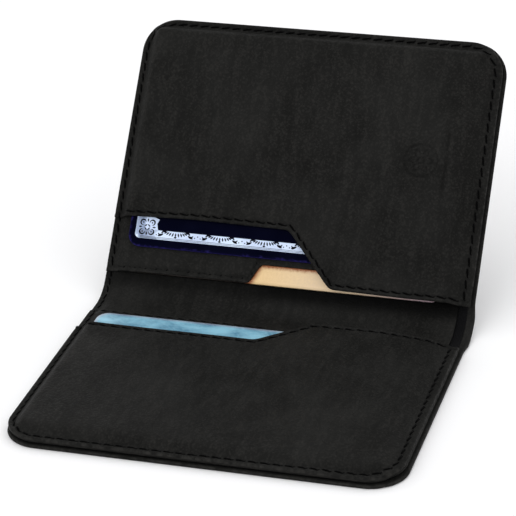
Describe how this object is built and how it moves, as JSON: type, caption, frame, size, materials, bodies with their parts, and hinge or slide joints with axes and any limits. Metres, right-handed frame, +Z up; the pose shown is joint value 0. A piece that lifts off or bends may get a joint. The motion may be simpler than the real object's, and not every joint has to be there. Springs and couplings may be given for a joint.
{
  "type": "card holder",
  "caption": "Slim bifold leather card holder, part open, with stitched pockets on both panels, a note compartment behind them and plain cards in the pockets.",
  "frame": {"origin": "centre of the near panel's flat outer face, which rests on the table", "axes": "+X to the right along the fold, +Y from the near panel towards the fold and the far panel, +Z up"},
  "size_m": [0.1, 0.1283, 0.0626],
  "materials": {
    "black_leather": "satin",
    "lining_fabric": "matte",
    "shielding_film": "satin",
    "black_thread": "matte",
    "blue_card": "satin",
    "gold_card": "satin",
    "navy_card": "gloss"
  },
  "bodies": {
    "near_panel": {"near_cover": "black_leather", "near_note_lining": "lining_fabric", "near_inner_panel": "black_leather", "near_shielding_film": "shielding_film", "near_pocket_back": "black_leather", "near_pocket_front": "black_leather", "near_perimeter_stitching": "black_thread", "near_mouth_stitching": "black_thread", "near_back_edge_stitching": "black_thread"},
    "spine": {"spine_cover": "black_leather", "spine_note_lining": "lining_fabric", "spine_inner_panel": "black_leather", "spine_side_stitching": "black_thread"},
    "far_panel": {"far_cover": "black_leather", "far_note_lining": "lining_fabric", "far_inner_panel": "black_leather", "far_shielding_film": "shielding_film", "far_pocket_lining": "lining_fabric", "middle_pocket": "black_leather", "front_pocket": "black_leather", "front_pocket_lining": "lining_fabric", "far_perimeter_stitching": "black_thread", "front_mouth_stitching": "black_thread", "middle_mouth_stitching": "black_thread", "middle_pocket_stop_seam": "black_thread"},
    "blue_card_body": {"blue_card": "blue_card"},
    "gold_card_body": {"gold_card": "gold_card"},
    "navy_card_body": {"navy_card": "navy_card"}
  },
  "joints": [
    {"name": "near_fold", "type": "hinge", "parent": "near_panel", "child": "spine", "pos_m": [0, 0.03625, 0.0005], "axis": [1, 0, 0], "range_deg": [-25.2, 64.8]},
    {"name": "far_fold", "type": "hinge", "parent": "spine", "child": "far_panel", "pos_m": [0, 0.04552, 0.00486], "axis": [1, 0, 0], "range_deg": [-25.2, 64.8]},
    {"name": "blue_card_slide", "type": "slide", "parent": "near_panel", "child": "blue_card_body", "axis": [0, 1, 0], "range_m": [-0.0045, 0.006]},
    {"name": "gold_card_slide", "type": "slide", "parent": "far_panel", "child": "gold_card_body", "axis": [0, -0.6374, -0.7705], "range_m": [-0.004, 0.0004]},
    {"name": "navy_card_slide", "type": "slide", "parent": "far_panel", "child": "navy_card_body", "axis": [0, -0.6374, -0.7705], "range_m": [-0.0055, 0.006]}
  ],
  "couplings": [
    {"joint": "far_fold", "follows": "near_fold", "ratio": 1}
  ]
}
